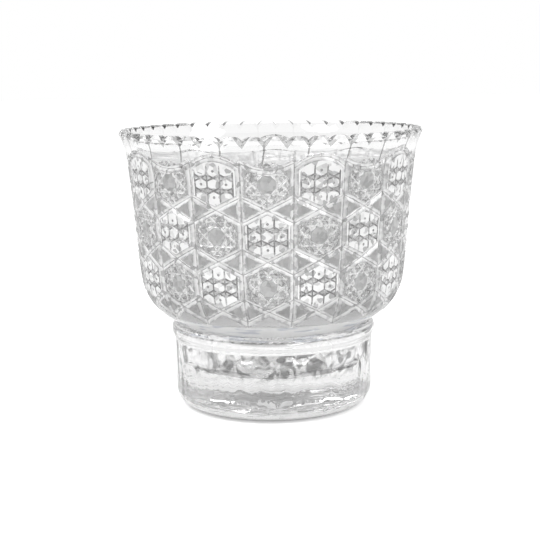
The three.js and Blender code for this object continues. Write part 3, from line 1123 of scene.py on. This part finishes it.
def floorMaterial():
    material = bpy.data.materials.new("paleFloor")
    material.use_nodes = True
    tree = material.node_tree
    tree.nodes.clear()
    path = addNode(tree, "ShaderNodeLightPath").outputs
    share = times(throughGlass(path), studio["floorGlowInGlass"] / studio["floorGlow"])
    seen = maths("MAXIMUM", share, path["Is Camera Ray"])
    paint = addNode(tree, "ShaderNodeBsdfDiffuse")
    paint.inputs["Color"].default_value = studio["floorColour"]
    glow = addNode(tree, "ShaderNodeEmission")
    feed(glow.inputs["Strength"], times(seen, studio["floorGlow"]))
    both = addNode(tree, "ShaderNodeAddShader")
    feed(both.inputs[0], paint.outputs[0])
    feed(both.inputs[1], glow.outputs[0])
    feed(addNode(tree, "ShaderNodeOutputMaterial").inputs["Surface"], both.outputs[0])
    return material


def makeFloor():
    deselectAll()
    bpy.ops.mesh.primitive_plane_add(size=studio["floorSize"], location=(0, 0, -studio["floorDrop"]))
    applyPlace()
    floor = bpy.context.object
    floor.name = "floor"
    floor.data.materials.append(floorMaterial())


sky = {
    "horizon": 1.0,
    "zenith": 0.52,
    "fill": 0.7,
    "rise": (0.3, 0.8),  # where the horizon's tone ends and the zenith's begins
}


def makeWorld():
    # glass shows a sky that darkens upward, the camera sees white, and the rest is even light
    world = bpy.data.worlds.new("studio")
    bpy.context.scene.world = world
    world.use_nodes = True
    tree = world.node_tree
    tree.nodes.clear()
    place = addNode(tree, "ShaderNodeTexCoord").outputs["Generated"]
    ramp = addNode(tree, "ShaderNodeValToRGB")
    tones = (sky["horizon"], sky["zenith"])
    for element, position, tone in zip(ramp.color_ramp.elements, sky["rise"], tones):
        element.position = position
        element.color = grey(tone)
    feed(ramp.inputs["Fac"], separated(place)["Z"])
    path = addNode(tree, "ShaderNodeLightPath").outputs
    forGlass = mixed(throughGlass(path), grey(sky["fill"]), ramp.outputs["Color"], "RGBA")
    background = addNode(tree, "ShaderNodeBackground")
    feed(background.inputs["Color"], mixed(path["Is Camera Ray"], forGlass, grey(1), "RGBA"))
    feed(addNode(tree, "ShaderNodeOutputWorld").inputs["Surface"], background.outputs[0])


def makeLamp(name, place, power):
    light = bpy.data.lights.new(name, "AREA")
    light.shape = "DISK"
    light.size = studio["lampSize"]
    light.energy = power
    lamp = bpy.data.objects.new(name, light)
    bpy.context.scene.collection.objects.link(lamp)
    lamp.location = place
    lamp.rotation_euler = (Vector(studio["lampAim"]) - Vector(place)).to_track_quat("-Z", "Y").to_euler()


# The camera stands where the photograph was taken from
view = {
    "distance": 740 * mm,
    "height": 206.2 * mm,
    "turn": math.radians(1.6),
    "pitch": 0.169,
    "yaw": -0.002,
    "roll": -0.0142,
    "film": 36,
    "focalShare": 1236 / 540,  # of the film's width, from pixels of the photograph's 540
    "near": 0.05,
}


def makeCamera():
    lens = bpy.data.cameras.new("camera")
    lens.lens = view["focalShare"] * view["film"]
    lens.sensor_width = view["film"]
    lens.sensor_fit = "HORIZONTAL"
    lens.clip_start = view["near"]
    camera = bpy.data.objects.new("camera", lens)
    bpy.context.scene.collection.objects.link(camera)
    forward = Vector((math.sin(view["yaw"]) * math.cos(view["pitch"]),
                      math.cos(view["yaw"]) * math.cos(view["pitch"]), -math.sin(view["pitch"])))
    right = forward.cross(Vector((0, 0, 1))).normalized()
    up = right.cross(forward)
    tiltedRight = math.cos(view["roll"]) * right + math.sin(view["roll"]) * up
    tiltedUp = -math.sin(view["roll"]) * right + math.cos(view["roll"]) * up
    aim = Matrix((tiltedRight, tiltedUp, -forward)).transposed().to_4x4()
    place = Matrix.Translation((0, -view["distance"], view["height"]))
    camera.matrix_world = Matrix.Rotation(view["turn"], 4, "Z") @ place @ aim
    bpy.context.scene.camera = camera


makeFloor()
makeWorld()
for name, place, power in studio["lamps"]:
    makeLamp(name, place, power)
makeCamera()
scene = bpy.context.scene
scene.view_settings.view_transform = "Standard"
scene.cycles.max_bounces = studio["bounces"]
scene.cycles.transmission_bounces = studio["bounces"]
scene.cycles.glossy_bounces = studio["glossyBounces"]
say("studio set")
